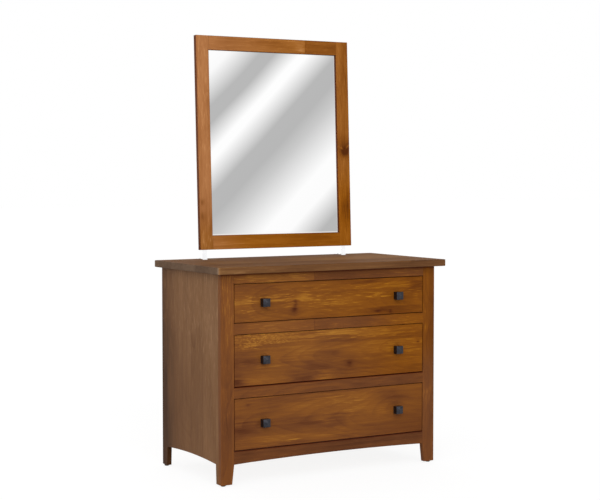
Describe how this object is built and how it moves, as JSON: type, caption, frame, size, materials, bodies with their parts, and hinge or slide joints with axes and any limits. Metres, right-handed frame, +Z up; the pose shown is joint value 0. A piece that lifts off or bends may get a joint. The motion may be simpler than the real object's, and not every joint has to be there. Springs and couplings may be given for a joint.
{
  "type": "dresser",
  "caption": "Wide solid-wood dresser with flush drawers on telescopic slides, square pyramid knobs, arched feet and a matching framed mirror leaning back on steel brackets.",
  "frame": {"origin": "on the floor, under the middle of the top board", "axes": "+Z up, -Y towards the user in front of the drawers, +X to the right seen from the front"},
  "size_m": [1.082, 0.575, 1.8022],
  "materials": {
    "stained_wood": "satin lacquer over honey-brown stain",
    "side_boards": "satin lacquer over brown stain, boards glued edge to edge",
    "top_boards": "satin lacquer over brown stain",
    "drawer_box_wood": "clear lacquer",
    "frame_wood": "bare",
    "plywood": "sealed",
    "hardboard": "bare",
    "mirror_glass": "silvered float glass",
    "dark_bronze": "satin dark bronze",
    "zinc_steel": "bright zinc plated",
    "glide_plastic": "moulded"
  },
  "bodies": {
    "root": {"back_panel": "plywood", "back_rail_lower": "frame_wood", "back_rail_upper": "frame_wood", "bottom_rail": "stained_wood", "bottom_slides_fixed": "zinc_steel", "corner_blocks": "frame_wood", "glides": "glide_plastic", "lower_divider_rail": "stained_wood", "middle_slides_fixed": "zinc_steel", "mirror_backing": "hardboard", "mirror_bracket_left": "zinc_steel", "mirror_bracket_right": "zinc_steel", "mirror_glass": "mirror_glass", "mirror_rail_bottom": "stained_wood", "mirror_rail_top": "stained_wood", "mirror_stile_left": "stained_wood", "mirror_stile_right": "stained_wood", "side_panel_left": "side_boards", "side_panel_right": "side_boards", "slide_battens_left": "frame_wood", "slide_battens_right": "frame_wood", "stile_left": "stained_wood", "stile_right": "stained_wood", "top_board": "top_boards", "top_cleat_left": "frame_wood", "top_cleat_right": "frame_wood", "top_rail": "stained_wood", "top_slides_fixed": "zinc_steel", "upper_divider_rail": "stained_wood"},
    "top_drawer": {"top_drawer_back": "drawer_box_wood", "top_drawer_bottom": "plywood", "top_drawer_front": "stained_wood", "top_drawer_knob_bolts": "zinc_steel", "top_drawer_knob_left": "dark_bronze", "top_drawer_knob_right": "dark_bronze", "top_drawer_side_left": "drawer_box_wood", "top_drawer_side_right": "drawer_box_wood", "top_slides_moving": "zinc_steel"},
    "top_runner": {"top_slides_middle": "zinc_steel"},
    "middle_drawer": {"middle_drawer_back": "drawer_box_wood", "middle_drawer_bottom": "plywood", "middle_drawer_front": "stained_wood", "middle_drawer_knob_bolts": "zinc_steel", "middle_drawer_knob_left": "dark_bronze", "middle_drawer_knob_right": "dark_bronze", "middle_drawer_side_left": "drawer_box_wood", "middle_drawer_side_right": "drawer_box_wood", "middle_slides_moving": "zinc_steel"},
    "middle_runner": {"middle_slides_middle": "zinc_steel"},
    "bottom_drawer": {"bottom_drawer_back": "drawer_box_wood", "bottom_drawer_bottom": "plywood", "bottom_drawer_front": "stained_wood", "bottom_drawer_knob_bolts": "zinc_steel", "bottom_drawer_knob_left": "dark_bronze", "bottom_drawer_knob_right": "dark_bronze", "bottom_drawer_side_left": "drawer_box_wood", "bottom_drawer_side_right": "drawer_box_wood", "bottom_slides_moving": "zinc_steel"},
    "bottom_runner": {"bottom_slides_middle": "zinc_steel"}
  },
  "joints": [
    {"name": "top_drawer_slide", "type": "slide", "parent": "root", "child": "top_drawer", "axis": [0, -1, 0], "range_m": [0, 0.44]},
    {"name": "top_runner_slide", "type": "slide", "parent": "root", "child": "top_runner", "axis": [0, -1, 0], "range_m": [0, 0.22]},
    {"name": "middle_drawer_slide", "type": "slide", "parent": "root", "child": "middle_drawer", "axis": [0, -1, 0], "range_m": [0, 0.44]},
    {"name": "middle_runner_slide", "type": "slide", "parent": "root", "child": "middle_runner", "axis": [0, -1, 0], "range_m": [0, 0.22]},
    {"name": "bottom_drawer_slide", "type": "slide", "parent": "root", "child": "bottom_drawer", "axis": [0, -1, 0], "range_m": [0, 0.44]},
    {"name": "bottom_runner_slide", "type": "slide", "parent": "root", "child": "bottom_runner", "axis": [0, -1, 0], "range_m": [0, 0.22]}
  ],
  "couplings": [
    {"joint": "top_runner_slide", "follows": "top_drawer_slide", "ratio": 0.5},
    {"joint": "middle_runner_slide", "follows": "middle_drawer_slide", "ratio": 0.5},
    {"joint": "bottom_runner_slide", "follows": "bottom_drawer_slide", "ratio": 0.5}
  ]
}
